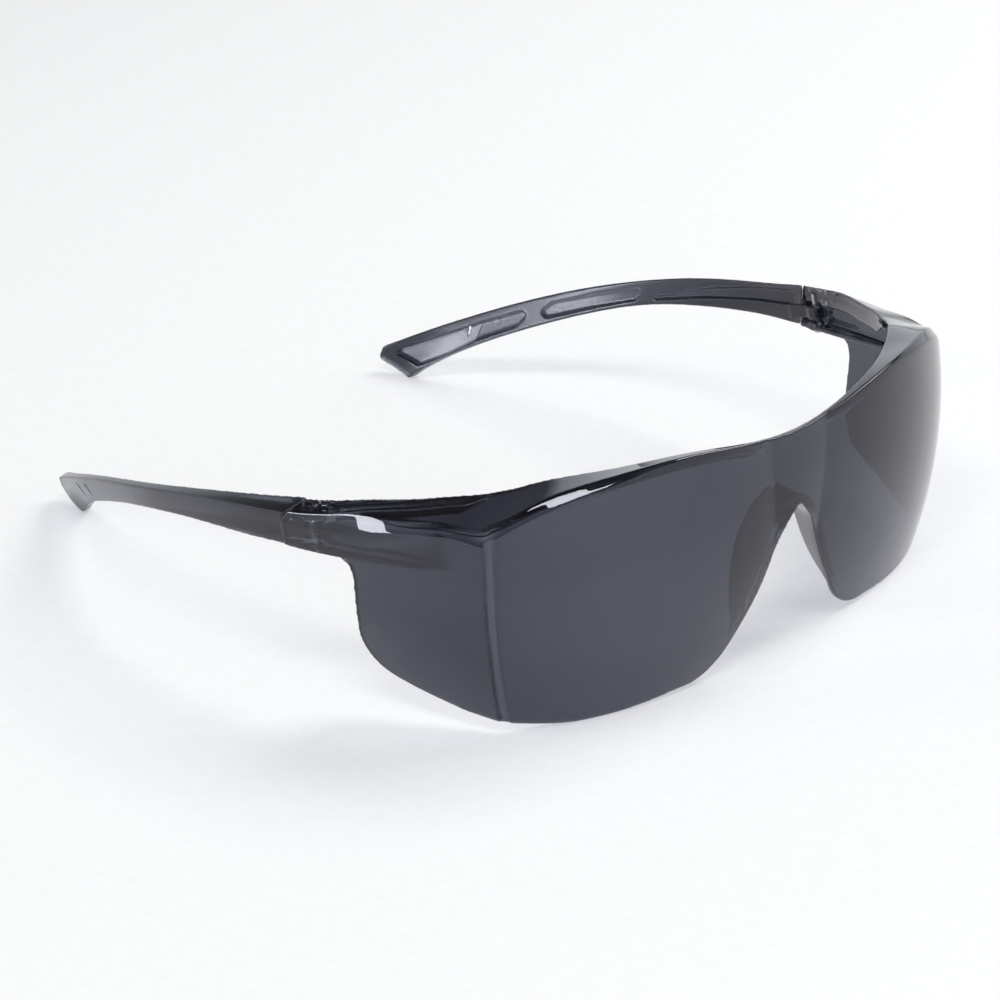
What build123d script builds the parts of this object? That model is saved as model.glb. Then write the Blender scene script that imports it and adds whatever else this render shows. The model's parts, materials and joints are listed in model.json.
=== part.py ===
"""Smoke-tinted over-spectacle safety glasses: a one-piece lens with brow shelf, side shields, nose
arch and hinge lugs, two folding temples and two metal hinge pins.

Every piece is modelled with the lens upright and the hinge seam near Y = 0: X across the face, the
wearer behind the lens at +Y, Z up. The left pieces are drawn at +X and mirrored for the right. The
last step sets the pair down on the table, where it stands on the lens and the temple tips."""

import os
from math import cos, hypot, radians, sin

from build123d import *

# Lens, in plan. Millimetres throughout.
lens_wall = 2.0  # thickness of the lens and the side shields
corner = (66.5, -45.0)  # brow corner, where front, side shield and shelf meet
corner_height = 59.7
corner_taper = 0.08  # how far the corner draws in for each millimetre of fall
corner_slip = 0.022  # how far it moves forward for each millimetre of fall
band_width = 2.2  # narrow upright band where the front lens turns into the side shield
band_depth = 0.4  # it is sunk by this much, with sloping edges
band_slope = 0.25  # width of each sloping edge
ridge_x = 8.4  # half width of the bridge panel between the two lobes, at the top
ridge_taper = 0.09
ridge_crown = 0.5
bridge_height = 66.0
bridge_y = -66.0
lean = 0.14  # the front leans in towards the face by this much for each millimetre of fall
lobe_bulge = 6.5  # how far each lobe bows out of the line from ridge to corner
side_bulge = 2.0
side_rear = (76.0, 10.0)  # outer face of the side wall, behind the hinge seam
side_taper = 0.05
belly = 2.5  # the wall also bows outward half way up
belly_height = 38.0
belly_half_span = 22.0
wall_levels = (-4, 16, 38, 58, 80)

# Brow shelf.
shelf_wall = 2.2
lip_wall = 1.5  # downturned lip along the shelf's inner edge, beside the temples
lip_depth = 4.4
lip_front = -43.0  # its front end slants back by lip_run over 16 mm of fall
lip_run = 18.0

# Nose arch. Its depths run back from a plane that leans with the front.
nose_front = -58.0  # where that plane meets Z = 0
nose_lean = 0.15
nose_depths = (-12, 14)
nose_splay = 0.3  # the arch widens by this much for each millimetre towards the face
flange_wall = 1.8

# Hinge.
seam_inner = (73.6, 0.0)  # inner and outer end of the seam between lug and temple, in plan
seam_outer = (77.7, 3.05)
seam_gap = 0.15
pin_at = (73.9, -4.4, 48.2)  # middle of the tongue, on the pin's axis
pin_lean = 16.4  # the pin leans back from the lens's upright, in degrees
pin_radius = 0.8
pin_low = -4.0  # the head's seat and the pin's blind end, measured along the pin
pin_high = 4.2
pin_head = (1.4, 0.6)  # radius and thickness
press = 0.01  # the pin is held in the lugs by this much interference
running = 0.05  # and runs in the tongue with this much clearance
tongue_radius = 2.4
tongue_thick = 3.2
tongue_width = 3.4
tongue_gap = 0.35
boss_radius = 2.4

# Placing on the table.
rest_tilt = 5.0

# Stations round the brow from behind the left hinge to the bridge: the shelf's inner edge, its outer crease,
# and how far the bevel along the crease reaches on each side of it.
brow = [
    ((75.6, 14.0, 49.4), (80.3, 14.0, 46.6), 1.9),
    ((74.0, -1.0, 53.5), (78.3, 0.0, 50.0), 1.9),
    ((71.8, -10.5, 55.7), (76.6, -10.0, 52.0), 1.9),
    ((67.3, -21.0, 58.2), (74.4, -21.0, 54.6), 1.9),
    ((61.8, -31.0, 60.9), (71.5, -32.0, 57.0), 1.9),
    ((56.6, -38.2, 62.8), (68.9, -40.0, 58.7), 1.8),
    ((54.8, -40.3, 63.4), (67.5, -43.2, 59.0), 1.7),
    ((53.1, -42.0, 63.9), (66.3, -45.5, 59.5), 1.6),
    ((51.7, -43.3, 64.3), (64.7, -47.0, 60.6), 1.6),
    ((50.2, -44.5, 64.7), (62.5, -48.8, 62.0), 1.7),
    ((45.5, -48.2, 65.9), (55.1, -53.4, 66.0), 1.8),
    ((40.0, -51.9, 66.9), (46.6, -57.6, 68.7), 1.7),
    ((33.0, -56.2, 68.0), (38.0, -60.9, 70.0), 1.3),
    ((23.0, -60.6, 68.4), (26.0, -63.8, 69.9), 0.8),
    ((13.0, -62.4, 67.0), (14.0, -64.9, 67.9), 0.5),
    ((0.0, -63.2, 66.0), (0.0, -65.6, 66.7), 0.5),
]

# Lug stations along Y: outer crease, bottom edge, inner edge of its floor.
lug = [
    (12.0, (79.4, 47.2), (78.4, 40.8), 72.2),
    (0.0, (78.1, 50.0), (77.4, 42.8), 71.8),
    (-13.0, (76.1, 53.1), (75.4, 44.6), 70.6),
    (-25.0, (73.4, 55.8), (72.8, 46.6), 69.4),
    (-38.0, (69.0, 58.5), (68.8, 49.2), 68.2),
]
lug_wall = 1.8
lug_floor_rise = 1.2  # the lug's underside rises this much from its outer to its inner edge

# Half outlines: nose arch and lower edge in the front view (X, Z), side shield in the side view (Y, Z).
nose = [(0, 50.3), (3.6, 48.2), (6.1, 42.3), (9.9, 32.5), (13.1, 26.5)]
nose += [(16.2, 21.5), (20.5, 17.6), (27.5, 15.98)]
lower_edge = [(27.5, 15.8), (35.0, 15.2), (46.0, 14.4), (53.0, 14.5), (58.0, 15.2), (62.0, 15.9), (90, 18)]
shield_edge = [(-46, 15.4), (-40.5, 16.2), (-32, 17.8), (-24, 19.5)]
shield_edge += [(-18.4, 21.9), (-15.6, 25.6), (-14.8, 30)]

# Temple stations along Y: inner top edge, outer crease, outer bottom edge and inner bottom edge, each (X, Z).
temple = [
    (-3.0, (73.3, 54.2), (77.8, 51.2), (77.0, 43.4), (73.0, 44.4)),
    (8.0, (74.4, 50.9), (78.2, 48.8), (77.5, 41.4), (73.8, 42.4)),
    (20.0, (75.3, 47.4), (78.4, 46.1), (77.8, 39.2), (74.4, 40.0)),
    (35.0, (75.8, 42.9), (78.0, 42.1), (76.9, 35.9), (73.9, 36.4)),
    (50.0, (74.6, 37.8), (76.5, 37.2), (75.0, 31.5), (72.3, 31.8)),
    (65.0, (71.5, 32.1), (73.2, 31.6), (70.6, 25.4), (68.2, 25.6)),
    (80.0, (66.7, 25.5), (68.4, 25.0), (64.9, 18.0), (62.5, 18.2)),
    (93.0, (61.4, 19.0), (63.2, 18.5), (58.9, 10.6), (56.4, 10.8)),
    (105.0, (55.2, 12.5), (57.2, 12.0), (52.6, 1.6), (50.0, 1.9)),
    (120.0, (47.6, 3.6), (49.8, 3.2), (44.8, -9.0), (42.2, -8.5)),
]
# side view (Y, Z) of the tip: hook, slanted end and rounded top
tip_edge = [(103.6, -40), (103.6, -0.2), (104.4, -0.3), (115.4, 2.9)]
tip_edge += [(116.1, 4.0), (115.6, 6.0), (113.2, 8.6)]
# recesses in the inner face: depth, then stations of Y and the margins from the bottom and the top edge
recesses = [
    (1.0, [(2.6, 0.5, 0.25), (4.0, 0.44, 0.17), (15, 0.42, 0.19), (30, 0.33, 0.34), (46, 0.22, 0.66)]),
    (0.5, [(50, 0.42, 0.45), (51.5, 0.24, 0.28), (63, 0.22, 0.28), (74.5, 0.24, 0.28), (76, 0.42, 0.45)]),
    (0.8, [(80.5, 0.4, 0.45), (82, 0.22, 0.32), (93, 0.2, 0.3)]),
    (1.4, [(92, 0.16, 0.32), (98, 0.12, 0.28), (105, 0.2, 0.25), (111.6, 0.7, 0.22)]),
]
slots = [(88.0, 17.2), (95.2, 13.6)]  # two grip slots in the outer face of the tip: Y and Z of their middles
slot_size = (0.7, 3.4)
slot_depth = 0.7

pin_plane = Plane(pin_at, x_dir=(1, 0, 0), z_dir=(0, sin(radians(pin_lean)), cos(radians(pin_lean))))


def mirrored(point):
    return (-point[0],) + tuple(point[1:])


def both_sides(points):
    """The points from the left end to the middle, then their mirror images to the right end."""
    return points + [mirrored(point) for point in reversed(points[:-1])]


def bowed(start, end, bulge):
    """Mid point of an arc from start to end that bows to the right of the way it runs."""
    dx, dy = end[0] - start[0], end[1] - start[1]
    length = hypot(dx, dy)
    return ((start[0] + end[0]) / 2 + dy / length * bulge, (start[1] + end[1]) / 2 - dx / length * bulge)


def past(start, end, distance):
    """The point that lies distance beyond end on the line from start."""
    length = sum((b - a) ** 2 for a, b in zip(start, end)) ** 0.5
    return tuple(b + (b - a) / length * distance for a, b in zip(start, end))


def wall_points(z, inset):
    """Ridge, the band's four corners from lobe to shield and the wall's rear end, in plan at height z."""
    out = belly * (1 - ((z - belly_height) / belly_half_span) ** 2) - inset
    fall = corner_height - z
    ridge = (ridge_x - ridge_taper * (bridge_height - z), bridge_y - out + lean * (bridge_height - z))
    turn = (corner[0] - corner_taper * fall + 0.9 * out, corner[1] - corner_slip * fall - 0.45 * out)
    half = band_width / 2 * sin(radians(45))
    foot = (band_width / 2 - band_slope) * sin(radians(45))
    sunk = band_depth * sin(radians(45))
    band = [
        (turn[0] - half, turn[1] - half),
        (turn[0] - foot - sunk, turn[1] - foot + sunk),
        (turn[0] + foot - sunk, turn[1] + foot + sunk),
        (turn[0] + half, turn[1] + half),
    ]
    rear = (side_rear[0] - side_taper * fall + 0.9 * out, side_rear[1])
    return ridge, band, rear


def wall_loft(inset):
    """The solid inside the wall's outer face, drawn in by inset. Only the outer face has the sunk band."""
    with BuildPart() as inside:
        for z in wall_levels:
            ridge, band, rear = wall_points(z, inset)
            if inset > 0:
                band = [band[0], band[3]]
            far_band = [mirrored(point) for point in reversed(band)]
            lobe_mid = bowed(ridge, band[0], lobe_bulge)
            side_mid = bowed(band[-1], rear, side_bulge)
            with BuildSketch(Plane.XY.offset(z)):
                with BuildLine():
                    ThreePointArc(mirrored(ridge), (0, ridge[1] - ridge_crown), ridge)
                    ThreePointArc(ridge, lobe_mid, band[0])
                    Polyline(*band)
                    ThreePointArc(band[-1], side_mid, rear)
                    Line(rear, mirrored(rear))
                    ThreePointArc(mirrored(rear), mirrored(side_mid), far_band[0])
                    Polyline(*far_band)
                    ThreePointArc(far_band[-1], mirrored(lobe_mid), mirrored(ridge))
                make_face()
        loft()
    return inside.part


def above_brow(drop):
    """Everything above the brow surface, lowered by drop."""
    inner_line = Spline(*both_sides([past(outer, inner, 5) for inner, outer, _ in brow]))
    outer_line = Spline(*both_sides([past(inner, outer, 6) for inner, outer, _ in brow]))
    surface = Face.make_surface_from_curves(inner_line, outer_line)
    return Solid.extrude(surface.moved(Location((0, 0, -drop))), Vector(0, 0, 60))


def above_crease():
    """Everything above the bevel along the brow's outer crease."""
    on_shelf, on_wall = [], []
    for inner, outer, bevel in brow:
        high = past(inner, outer, -bevel)
        low = (outer[0], outer[1], outer[2] - bevel)
        on_shelf.append(past(low, high, 3))
        on_wall.append(past(high, low, 3))
    surface = Face.make_surface_from_curves(Spline(*both_sides(on_shelf)), Spline(*both_sides(on_wall)))
    return Solid.extrude(surface, Vector(0, 0, 60))


def lug_loft(wall, reach):
    """A loft inside the lug's outer face, drawn in by wall, that reaches this far inward of its floor."""
    rise = lug_floor_rise if wall == 0 else 0
    with BuildPart() as body:
        for y, crease, bottom, inner_x in lug:
            with BuildSketch(Plane.XZ.offset(-y)):
                with BuildLine():
                    Polyline(
                        (crease[0] - wall, 66),
                        (crease[0] - wall, crease[1]),
                        (bottom[0] - wall, bottom[1] + wall * 1.3),
                        (inner_x - reach, bottom[1] + wall * 1.3 + rise),
                        (inner_x - reach, 66),
                        close=True,
                    )
                make_face()
        loft()
    return body.part


def nose_loft(grow):
    """The space of the nose, widening towards the face, and grown all round by grow."""
    with BuildPart() as space:
        for depth in nose_depths:
            half = []
            for x, z in nose:
                side = min(1, x / 5)
                fade = max(0, min(1, (z - 17) / 13))
                half.append((x + side * (nose_splay * depth * fade + grow), z + (1 - side) * grow))
            arch = both_sides(list(reversed(half)))
            front = Plane(origin=(0, nose_front + depth, 0), x_dir=(1, 0, 0), z_dir=(0, -1, -nose_lean))
            with BuildSketch(front):
                with BuildLine():
                    Spline(*arch)
                    Polyline(arch[-1], (arch[-1][0], 0), (arch[0][0], 0), arch[0])
                make_face()
        loft(ruled=True)
    return space.part


def behind_seam(gap):
    """Everything behind the left hinge seam, moved back by gap."""
    dx, dy = seam_outer[0] - seam_inner[0], seam_outer[1] - seam_inner[1]
    ux, uy = dx / hypot(dx, dy), dy / hypot(dx, dy)
    start = (seam_inner[0] - 12 * ux - gap * uy, seam_inner[1] - 12 * uy + gap * ux)
    end = (start[0] + 26 * ux, start[1] + 26 * uy)
    with BuildPart() as behind:
        with BuildSketch(Plane.XY.offset(-30)):
            with BuildLine():
                Polyline(start, end, (end[0], 200), (20, 200), (20, 40), (start[0] - 4, start[1]), close=True)
            make_face()
        extrude(amount=140)
    return behind.part


def between(y, corner_index):
    """Where a long edge of the temple passes distance y along it."""
    for near, far in zip(temple, temple[1:]):
        if near[0] <= y <= far[0]:
            share = (y - near[0]) / (far[0] - near[0])
            start, end = near[corner_index], far[corner_index]
            return (start[0] + (end[0] - start[0]) * share, start[1] + (end[1] - start[1]) * share)
    raise ValueError(y)


def inner_recess(depth, stations):
    """A recess in the temple's inner face."""
    with BuildPart() as recess:
        for y, low, high in stations:
            top, bottom = between(y, 1), between(y, 4)
            ends = []
            for share in (low, 1 - high):
                ends.append([b + (t - b) * share for b, t in zip(bottom, top)])
            with BuildSketch(Plane.XZ.offset(-y)):
                with BuildLine():
                    Polyline(
                        (ends[0][0] + depth, ends[0][1]),
                        (ends[1][0] + depth, ends[1][1]),
                        (ends[1][0] - 3, ends[1][1]),
                        (ends[0][0] - 3, ends[0][1]),
                        close=True,
                    )
                make_face()
        loft(ruled=True)
    return recess.part


blank = wall_loft(0)
over_shelf = above_brow(0)
over_core = above_brow(shelf_wall)
over_lip = above_brow(lip_depth)
over_crease = above_crease()

# The lens's inside, up to the underside of the shelf.
with BuildPart() as hollow:
    add(wall_loft(lens_wall))
    add(over_core, mode=Mode.SUBTRACT)

# Left hinge lug: an open channel under the shelf, with a floor and two bosses round the pin.
with BuildPart() as channel:
    add(lug_loft(lug_wall, 12))
    add(over_core, mode=Mode.SUBTRACT)

with BuildPart() as lug_left:
    add(lug_loft(0, 0))
    add(channel.part, mode=Mode.SUBTRACT)
    with BuildSketch(pin_plane.offset(tongue_thick / 2 + tongue_gap)):
        Circle(boss_radius)
    extrude(amount=8)
    with BuildSketch(pin_plane.offset(pin_low)):
        Circle(boss_radius)
    extrude(amount=-pin_low)
    add(over_shelf, mode=Mode.SUBTRACT)

# Lip along the shelf's inner edge, from the hinge to the bend.
with BuildPart() as lip:
    with BuildSketch(Plane.XY.offset(40)):
        with BuildLine():
            lip_points = [past(outer, inner, -lip_wall)[:2] for inner, outer, _ in brow]
            lip_line = Spline(*both_sides(lip_points))
            Polyline(lip_line @ 0, (60, 30), (-60, 30), lip_line @ 1)
        make_face()
    extrude(amount=40)
    with BuildSketch(Plane.YZ.offset(-90)):
        with BuildLine():
            Polyline((lip_front, 66), (lip_front + lip_run, 50), (30, 35), (30, 66), close=True)
        make_face()
    extrude(amount=180, mode=Mode.INTERSECT)
    add(over_lip, mode=Mode.INTERSECT)
    add(over_shelf, mode=Mode.SUBTRACT)

# Flange round the nose arch.
with BuildPart() as flange:
    add(nose_loft(flange_wall))
    add(blank, mode=Mode.INTERSECT)
    with BuildSketch(Plane.YZ.offset(-30)):
        with BuildLine():
            Polyline((-80, 18), (-62.3, 18), (-62.3, 21), (-60.5, 27))
            Spline((-60.5, 27), (-57.6, 35), (-56.8, 45), (-57.4, 55), (-57.6, 60))
            Polyline((-57.6, 60), (-80, 60), (-80, 18))
        make_face()
    extrude(amount=60, mode=Mode.INTERSECT)

with BuildPart() as moulding:
    add(blank)
    add(over_shelf, mode=Mode.SUBTRACT)
    add(hollow.part, mode=Mode.SUBTRACT)
    add(lug_left.part)
    add(lug_left.part.mirror(Plane.YZ))
    add(lip.part)
    # opening for the face, through the shelf
    with BuildSketch(Plane.XY.offset(47)):
        with BuildLine():
            face_line = Spline(*both_sides([inner[:2] for inner, outer, _ in brow]))
            Polyline(face_line @ 0, (60, 30), (-60, 30), face_line @ 1)
        make_face()
    extrude(amount=40, mode=Mode.SUBTRACT)
    add(flange.part)
    # outline in the front view
    with BuildSketch(Plane.XZ.offset(-20)):
        with BuildLine():
            Spline(*lower_edge)
            Polyline(lower_edge[-1], (90, 90), (-90, 90), mirrored(lower_edge[-1]))
            Spline(*[mirrored(point) for point in reversed(lower_edge)])
            Polyline(mirrored(lower_edge[0]), (-27.5, 8), (27.5, 8), lower_edge[0])
        make_face()
    extrude(amount=100, mode=Mode.INTERSECT)
    # outline in the side view
    with BuildSketch(Plane.YZ.offset(-90)):
        with BuildLine():
            Spline(*shield_edge)
            Polyline(shield_edge[-1], (-14.8, 40.5), (-14.0, 43.4), (-11.6, 44.5), (14, 40.4))
            Polyline((14, 40.4), (14, 90), (-95, 90), (-95, 5), (-50, 5), shield_edge[0])
        make_face()
    extrude(amount=180, mode=Mode.INTERSECT)
    add(nose_loft(0), mode=Mode.SUBTRACT)
    add(over_crease, mode=Mode.SUBTRACT)

# Everything that the left hinge needs cut away: behind the seam, the tongue's swing and the pin's bore.
with BuildPart() as hinge_room:
    add(behind_seam(0))
    with BuildSketch(pin_plane.offset(-tongue_thick / 2 - tongue_gap)):
        Circle(tongue_radius + tongue_gap)
        with Locations((tongue_radius + tongue_gap, 0)):
            Rectangle(12, 8, align=(Align.MAX, Align.MIN))
    extrude(amount=tongue_thick + 2 * tongue_gap)
    with BuildSketch(pin_plane.offset(pin_low)):
        Circle(pin_radius - press)
    extrude(amount=pin_high - pin_low)
    with BuildSketch(pin_plane.offset(pin_low)):
        Circle(pin_head[0] + running)
    extrude(amount=-8)

with BuildPart() as lens:
    add(moulding.part)
    add(hinge_room.part, mode=Mode.SUBTRACT)
    add(hinge_room.part.mirror(Plane.YZ), mode=Mode.SUBTRACT)

with BuildPart() as blade:
    for y, inner_top, crease, outer_bottom, inner_bottom in temple:
        with BuildSketch(Plane.XZ.offset(-y)):
            with BuildLine():
                Polyline(inner_top, crease, outer_bottom, inner_bottom, close=True)
            make_face()
    loft()

with BuildPart() as temple_left:
    add(blade.part)
    with BuildSketch(Plane.YZ.offset(30)):
        with BuildLine():
            Polyline((-20, 80), (-20, -40), *tip_edge, (104, 17), (60, 80), close=True)
        make_face()
    extrude(amount=70, mode=Mode.INTERSECT)
    for depth, stations in recesses:
        add(inner_recess(depth, stations), mode=Mode.SUBTRACT)
    for y, z in slots:
        outer_x = (between(y, 2)[0] + between(y, 3)[0]) / 2
        with BuildSketch(Plane.YZ.offset(outer_x - slot_depth)):
            with Locations((y, z)):
                SlotOverall(slot_size[1], slot_size[0], rotation=75)
        extrude(amount=8, mode=Mode.SUBTRACT)
    add(behind_seam(seam_gap), mode=Mode.INTERSECT)
    # hinge tongue
    with BuildSketch(pin_plane.offset(-tongue_thick / 2)):
        Circle(tongue_radius)
        with Locations((tongue_radius, 0)):
            Rectangle(tongue_width, 8, align=(Align.MAX, Align.MIN))
    extrude(amount=tongue_thick)
    with BuildSketch(pin_plane.offset(-tongue_thick)):
        Circle(pin_radius + running)
    extrude(amount=2 * tongue_thick, mode=Mode.SUBTRACT)

with BuildPart() as hinge_pin_left:
    with BuildSketch(pin_plane.offset(pin_low)):
        Circle(pin_radius)
    extrude(amount=pin_high - pin_low)
    with BuildSketch(pin_plane.offset(pin_low)):
        Circle(pin_head[0])
    extrude(amount=-pin_head[1])

with BuildPart() as temple_right:
    mirror(temple_left.part, about=Plane.YZ)

with BuildPart() as hinge_pin_right:
    mirror(hinge_pin_left.part, about=Plane.YZ)

# Set the pair down: tilted onto the lens's lower edge and the temple tips, centred over the origin.
pieces = (lens, temple_left, temple_right, hinge_pin_left, hinge_pin_right)
for piece in pieces:
    piece.part.move(Location((0, 0, 0), (rest_tilt, 0, 0)))
boxes = [piece.part.bounding_box() for piece in pieces]
middle_y = (min(box.min.Y for box in boxes) + max(box.max.Y for box in boxes)) / 2
lowest_z = min(box.min.Z for box in boxes)
for piece in pieces:
    piece.part.move(Location((0, -middle_y, -lowest_z)))
print("set down by", round(-middle_y, 3), round(-lowest_z, 3))

os.makedirs("parts", exist_ok=True)
lens.part.label = "lens"
export_step(lens.part, "parts/lens.step")
temple_left.part.label = "temple_left"
export_step(temple_left.part, "parts/temple_left.step")
temple_right.part.label = "temple_right"
export_step(temple_right.part, "parts/temple_right.step")
hinge_pin_left.part.label = "hinge_pin_left"
export_step(hinge_pin_left.part, "parts/hinge_pin_left.step")
hinge_pin_right.part.label = "hinge_pin_right"
export_step(hinge_pin_right.part, "parts/hinge_pin_right.step")
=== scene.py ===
"""Smoke-tinted over-spectacle safety glasses on a pale table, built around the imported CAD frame.

The lens and the temples are remade here as moulded skins with softly rounded edges, each standing for its CAD
node. The hinge pins stay as the CAD has them and get a drawn steel finish."""

import json
from math import cos, pi, radians, sin

import bpy
import numpy as np
from mathutils import Matrix, Vector
from mathutils.bvhtree import BVHTree


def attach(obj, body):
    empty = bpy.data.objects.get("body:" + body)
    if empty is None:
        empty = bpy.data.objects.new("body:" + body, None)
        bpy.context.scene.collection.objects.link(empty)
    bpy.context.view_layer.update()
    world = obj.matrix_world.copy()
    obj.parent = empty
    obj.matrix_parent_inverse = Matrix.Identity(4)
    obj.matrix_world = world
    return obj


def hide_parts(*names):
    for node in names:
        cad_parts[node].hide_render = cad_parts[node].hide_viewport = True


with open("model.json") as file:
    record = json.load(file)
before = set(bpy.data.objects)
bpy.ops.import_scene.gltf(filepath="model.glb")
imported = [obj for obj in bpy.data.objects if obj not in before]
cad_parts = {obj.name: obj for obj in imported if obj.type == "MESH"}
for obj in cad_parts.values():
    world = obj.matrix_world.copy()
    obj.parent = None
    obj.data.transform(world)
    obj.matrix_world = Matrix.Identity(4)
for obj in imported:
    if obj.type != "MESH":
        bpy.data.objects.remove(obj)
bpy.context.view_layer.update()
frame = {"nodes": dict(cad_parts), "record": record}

MM = 0.001

# Camera: set up in the lens's upright frame, then tilted with the pair as it rests on the table.
REST_TILT = radians(5.0)
VIEW_AZIMUTH = radians(-43.6)
VIEW_ELEVATION = radians(28.0)
CAMERA_AT = (-0.4720, -0.5277, 0.3287)
FOCAL_LENGTH = 126.0

# Moulded skins: mesh size in millimetres, and how far edges are softened, in smoothing rounds.
FINE_MESH, COARSE_MESH = 0.25, 0.4
LENS_ROUNDS = 6
TEMPLE_ROUNDS = 8
SHEEN_ROUNDS = 9  # smoothing of the shading normals, which softens the ends of reflections

POLYCARBONATE_IOR = 1.58
SMOKE = (0.030, 0.032, 0.048)  # share of light that a wall of PLAIN_WALL lets through; thicker walls are darker
PLAIN_WALL = 2.0
SKIN = 0.1  # wall thickness is measured from just under the surface
DARKEST_WALL = 4.2
GLOSS_TINT = (0.89, 0.89, 1.0, 1.0)  # reflections in the plastic are slightly blue
SHADOW_TINT = (0.70, 0.70, 0.73)  # what one surface lets through to the floor, lighter than the real tint
STEEL = (0.42, 0.42, 0.43)
PALEST_FLOW = 1.0  # the flow marks multiply the tint by a value between these two
DARKEST_FLOW = 0.84

# Studio.
FLOOR_WIDTH = 6
PAPER = ((0.89,) * 3, (0.91,) * 3)
WALL_TOP = 0.42  # sine of the angle at which the walls end
WALL_COLOUR = (0.91, 0.955, 1)
CEILING_COLOUR = (0.12,) * 3
WALL_LIGHT = 1.15
LAMPS_AIM = (0, 0, 0.03)


def new_material(name):
    material = bpy.data.materials.new(name)
    material.use_nodes = True
    material.node_tree.nodes.clear()
    return material, material.node_tree.nodes, material.node_tree.links


def noise(nodes, links, vector, scale, detail):
    texture = nodes.new("ShaderNodeTexNoise")
    texture.inputs["Scale"].default_value = scale
    texture.inputs["Detail"].default_value = detail
    links.new(vector, texture.inputs["Vector"])
    return texture.outputs["Fac"]


def ramp(nodes, links, value, low, high, low_colour, high_colour):
    """Colour that runs from low_colour to high_colour as value goes from low to high."""
    node = nodes.new("ShaderNodeValToRGB")
    node.color_ramp.elements[0].position = low
    node.color_ramp.elements[1].position = high
    node.color_ramp.elements[0].color = (*low_colour, 1)
    node.color_ramp.elements[1].color = (*high_colour, 1)
    links.new(value, node.inputs[0])
    return node.outputs[0]


def stretched(nodes, links, scale):
    """Object coordinates scaled unevenly, so that a texture on them runs in streaks."""
    place = nodes.new("ShaderNodeTexCoord")
    mapping = nodes.new("ShaderNodeMapping")
    mapping.inputs["Scale"].default_value = scale
    links.new(place.outputs["Object"], mapping.inputs["Vector"])
    return mapping.outputs[0]


def tinted_plastic(name, polish, scuffed):
    """Clear moulded polycarbonate: smoke tint by wall thickness, faint flow marks, orange peel, fine scuffs."""
    material, nodes, links = new_material(name)
    out = nodes.new("ShaderNodeOutputMaterial")
    shader = nodes.new("ShaderNodeBsdfPrincipled")
    flow = noise(nodes, links, stretched(nodes, links, (0.6, 1.0, 2.4)), 22.0, 3.0)
    tint = nodes.new("ShaderNodeVertexColor")
    tint.layer_name = "tint"
    marks = nodes.new("ShaderNodeMixRGB")
    marks.blend_type = "MULTIPLY"
    marks.inputs[0].default_value = 1.0
    links.new(tint.outputs["Color"], marks.inputs[1])
    links.new(ramp(nodes, links, flow, 0.3, 0.7, (DARKEST_FLOW,) * 3, (PALEST_FLOW,) * 3), marks.inputs[2])
    links.new(marks.outputs[0], shader.inputs["Base Color"])
    scuffs = noise(nodes, links, stretched(nodes, links, (1.0, 1.0, 3.0)), 420.0, 6.0)
    links.new(ramp(nodes, links, scuffs, 0.55, 0.8, (polish,) * 3, (scuffed,) * 3), shader.inputs["Roughness"])
    peel = nodes.new("ShaderNodeBump")
    peel.inputs["Strength"].default_value = 0.06
    peel.inputs["Distance"].default_value = 0.05 * MM
    links.new(noise(nodes, links, stretched(nodes, links, (1, 1, 1)), 160.0, 2.0), peel.inputs["Height"])
    links.new(peel.outputs[0], shader.inputs["Normal"])
    shader.inputs["Transmission Weight"].default_value = 1.0
    shader.inputs["IOR"].default_value = POLYCARBONATE_IOR
    shader.inputs["Specular Tint"].default_value = GLOSS_TINT
    # lamps shine through to the floor
    lamp_side = nodes.new("ShaderNodeBsdfTransparent")
    lamp_side.inputs["Color"].default_value = (*SHADOW_TINT, 1)
    path = nodes.new("ShaderNodeLightPath")
    mix = nodes.new("ShaderNodeMixShader")
    links.new(path.outputs["Is Shadow Ray"], mix.inputs[0])
    links.new(shader.outputs[0], mix.inputs[1])
    links.new(lamp_side.outputs[0], mix.inputs[2])
    links.new(mix.outputs[0], out.inputs[0])
    return material


def drawn_steel(name):
    """Bright drawn wire: fine lines along the pin and a slightly uneven shine."""
    material, nodes, links = new_material(name)
    out = nodes.new("ShaderNodeOutputMaterial")
    shader = nodes.new("ShaderNodeBsdfPrincipled")
    shader.inputs["Metallic"].default_value = 1.0
    lines = noise(nodes, links, stretched(nodes, links, (12.0, 12.0, 0.4)), 900.0, 4.0)
    dark = [channel * 0.75 for channel in STEEL]
    links.new(ramp(nodes, links, lines, 0.35, 0.65, dark, STEEL), shader.inputs["Base Color"])
    links.new(ramp(nodes, links, lines, 0.3, 0.7, (0.18,) * 3, (0.36,) * 3), shader.inputs["Roughness"])
    links.new(shader.outputs[0], out.inputs[0])
    return material


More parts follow.
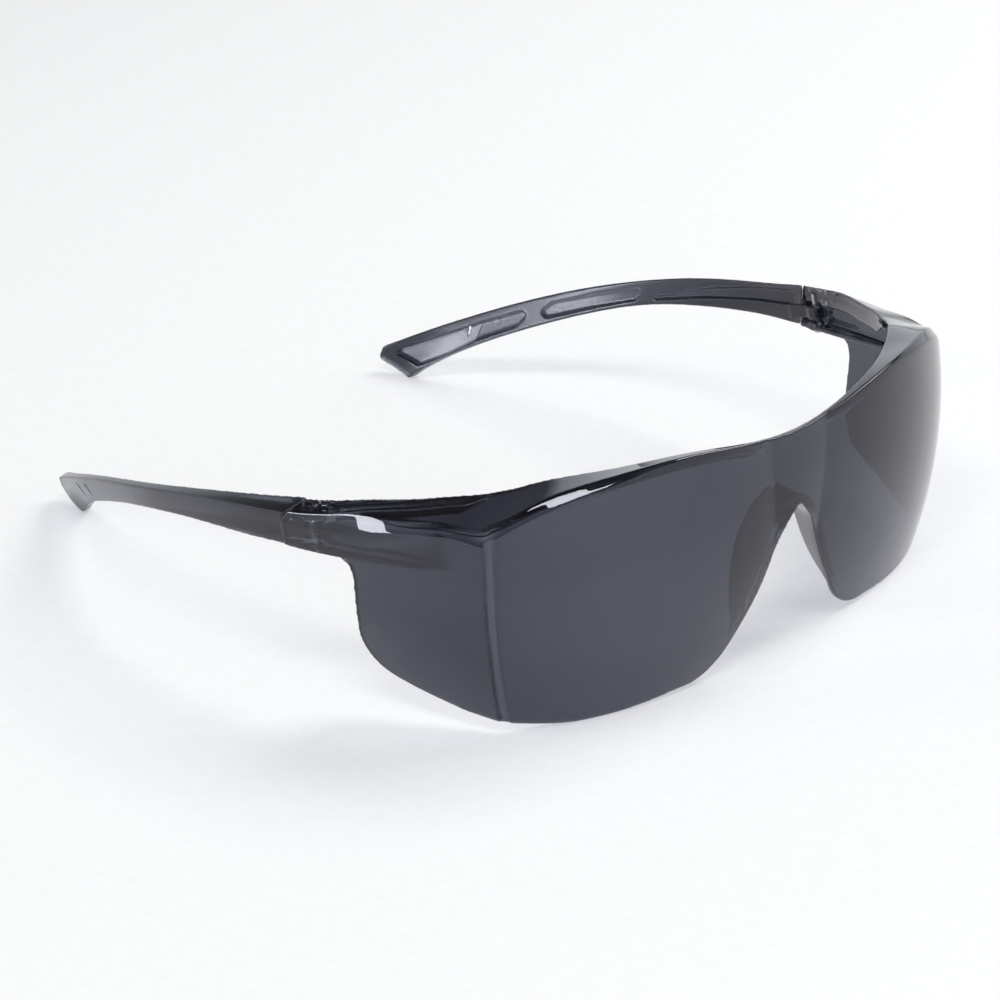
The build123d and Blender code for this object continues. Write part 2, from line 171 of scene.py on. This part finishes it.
def cad_surface(mesh, points):
    """The CAD surface's own normals at the places on it nearest to points, and how thick the wall is there."""
    count = len(mesh.polygons)
    corners = np.zeros(count * 3, np.int32)
    mesh.polygons.foreach_get("vertices", corners)
    co = np.zeros(len(mesh.vertices) * 3)
    mesh.vertices.foreach_get("co", co)
    co = co.reshape(-1, 3)
    normals = np.zeros(len(mesh.loops) * 3)
    mesh.corner_normals.foreach_get("vector", normals)
    normals = normals.reshape(count, 3, 3)
    triangles = corners.reshape(-1, 3)
    tree = BVHTree.FromPolygons(co.tolist(), triangles.tolist())
    hits = [tree.find_nearest(point) for point in points.tolist()]
    index = np.array([hit[2] for hit in hits])
    at = np.array([hit[0][:] for hit in hits])
    a, b, c = (co[triangles[index, k]] for k in range(3))
    ab, ac, ap = b - a, c - a, at - a
    d00, d01, d11 = (ab * ab).sum(1), (ab * ac).sum(1), (ac * ac).sum(1)
    d20, d21 = (ap * ab).sum(1), (ap * ac).sum(1)
    area = np.maximum(d00 * d11 - d01 * d01, 1e-18)
    at_b = np.clip((d11 * d20 - d01 * d21) / area, 0, 1)
    at_c = np.clip((d00 * d21 - d01 * d20) / area, 0, 1)
    at_a = np.clip(1 - at_b - at_c, 0, 1)
    near = normals[index]
    near = near[:, 0] * at_a[:, None] + near[:, 1] * at_b[:, None] + near[:, 2] * at_c[:, None]
    thickness = []
    for place, inward in zip((at - near * SKIN * MM).tolist(), (-near).tolist()):
        far_side = tree.ray_cast(place, inward, DARKEST_WALL * MM)[3]
        thickness.append(DARKEST_WALL if far_side is None else min(DARKEST_WALL, far_side / MM + SKIN))
    return near, np.array(thickness)


def spread(values, edges, rounds):
    """values smoothed over a mesh: each point moves half way to its neighbours' mean, so many rounds."""
    count = len(values)
    degree = np.bincount(edges.ravel(), minlength=count)[:, None]
    for _ in range(rounds):
        total = np.zeros_like(values)
        for k in range(3):
            total[:, k] = np.bincount(edges[:, 0], values[edges[:, 1], k], count)
            total[:, k] += np.bincount(edges[:, 1], values[edges[:, 0], k], count)
        values = 0.5 * values + 0.5 * total / degree
    return values


def moulded(node, rounds, material):
    """The CAD node remade as one evenly meshed skin with softly rounded edges, as it leaves the mould."""
    cad = frame["nodes"][node]
    mesh = cad.data.copy()
    mesh.transform(Matrix.Scale(1 / MM, 4))
    piece = bpy.data.objects.new(node + "_moulded", mesh)
    bpy.context.scene.collection.objects.link(piece)
    remesh = piece.modifiers.new("even", "REMESH")
    remesh.mode = "VOXEL"
    remesh.voxel_size = FINE_MESH
    remesh.adaptivity = 0
    bpy.context.view_layer.update()
    skin = bpy.data.meshes.new_from_object(piece.evaluated_get(bpy.context.evaluated_depsgraph_get()))
    piece.modifiers.clear()
    piece.data = skin
    co = np.zeros(len(skin.vertices) * 3)
    skin.vertices.foreach_get("co", co)
    edges = np.zeros(len(skin.edges) * 2, np.int32)
    skin.edges.foreach_get("vertices", edges)
    edges = edges.reshape(-1, 2)
    co = spread(co.reshape(-1, 3), edges, rounds) * MM
    skin.vertices.foreach_set("co", co.ravel())
    normals, thickness = cad_surface(cad.data, co)
    normals = spread(normals, edges, SHEEN_ROUNDS)
    normals /= np.linalg.norm(normals, axis=1)[:, None]
    tint = spread(np.array(SMOKE) ** (thickness[:, None] / PLAIN_WALL), edges, rounds)
    layer = skin.color_attributes.new("tint", "FLOAT_COLOR", "POINT")
    layer.data.foreach_set("color", np.column_stack([tint, np.ones(len(tint))]).ravel())
    skin.shade_smooth()
    skin.normals_split_custom_set_from_vertices(normals.tolist())
    skin.materials.clear()
    skin.materials.append(material)
    bodies = frame["record"]["behaviour"]["bodies"]
    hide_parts(node)
    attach(piece, next(body for body, held in bodies.items() if node in held))


smoke = tinted_plastic("smoke_lens", 0.012, 0.05)
arm = tinted_plastic("smoke_temple", 0.22, 0.28)
moulded("lens", LENS_ROUNDS, smoke)
for node in ("temple_left", "temple_right"):
    moulded(node, TEMPLE_ROUNDS, arm)
pin_steel = drawn_steel("drawn_steel")
for node in ("hinge_pin_left", "hinge_pin_right"):
    pin = frame["nodes"][node]
    pin.data.materials.clear()
    pin.data.materials.append(pin_steel)

# Floor: a pale sheet of matt paper.
bpy.ops.mesh.primitive_plane_add(size=FLOOR_WIDTH)
floor = bpy.context.object
floor.name = "floor"
paper, nodes, links = new_material("floor_paper")
out = nodes.new("ShaderNodeOutputMaterial")
shader = nodes.new("ShaderNodeBsdfPrincipled")
grain = noise(nodes, links, stretched(nodes, links, (1, 1, 1)), 300.0, 4.0)
links.new(ramp(nodes, links, grain, 0.3, 0.7, *PAPER), shader.inputs["Base Color"])
shader.inputs["Roughness"].default_value = 0.9
shader.inputs["Specular IOR Level"].default_value = 0.0
links.new(shader.outputs[0], out.inputs[0])
floor.data.materials.append(paper)

# World: pale walls up to WALL_TOP and a dark ceiling.
world = bpy.data.worlds.new("studio")
world.use_nodes = True
nodes, links = world.node_tree.nodes, world.node_tree.links
place = nodes.new("ShaderNodeTexCoord")
split = nodes.new("ShaderNodeSeparateXYZ")
links.new(place.outputs["Generated"], split.inputs[0])
walls = ramp(nodes, links, split.outputs["Z"], WALL_TOP - 0.04, WALL_TOP + 0.06, WALL_COLOUR, CEILING_COLOUR)
links.new(walls, nodes["Background"].inputs[0])
nodes["Background"].inputs[1].default_value = WALL_LIGHT
bpy.context.scene.world = world


def bearing(azimuth, elevation, distance):
    """The point at this azimuth from +Y towards +X, this elevation and this distance from the glasses."""
    level = distance * cos(radians(elevation))
    x, y = level * sin(radians(azimuth)), level * cos(radians(azimuth))
    return (x, y, distance * sin(radians(elevation)))


def softbox(name, at, size, brightness):
    """A rectangular lamp at a point, facing the glasses, whose surface is this bright."""
    data = bpy.data.lights.new(name, "AREA")
    data.shape = "RECTANGLE"
    data.size, data.size_y = size
    data.energy = brightness * pi * size[0] * size[1]
    light = bpy.data.objects.new(name, data)
    light.location = at
    light.rotation_euler = (Vector(LAMPS_AIM) - Vector(at)).to_track_quat("-Z", "Y").to_euler()
    bpy.context.scene.collection.objects.link(light)


# Softboxes behind and in front. The first two stand where a bevel of the brow reflects them to the camera.
softbox("softbox_rear_left", bearing(-54, 23, 1.5), (0.50, 0.15), 12)
softbox("softbox_front", bearing(-137, 57, 1.6), (0.85, 0.26), 13)
softbox("softbox_right", bearing(108, 50, 1.7), (0.9, 0.8), 8)

data = bpy.data.cameras.new("camera")
data.lens = FOCAL_LENGTH
data.sensor_width = 36
data.clip_start = 0.01
camera = bpy.data.objects.new("camera", data)
turn = Matrix.Rotation(REST_TILT, 4, "X") @ Matrix.Rotation(VIEW_AZIMUTH, 4, "Z")
turn = turn @ Matrix.Rotation(radians(90) - VIEW_ELEVATION, 4, "X")
camera.matrix_world = Matrix.Translation(CAMERA_AT) @ turn
bpy.context.scene.collection.objects.link(camera)
bpy.context.scene.camera = camera
bpy.context.scene.view_settings.view_transform = "Standard"
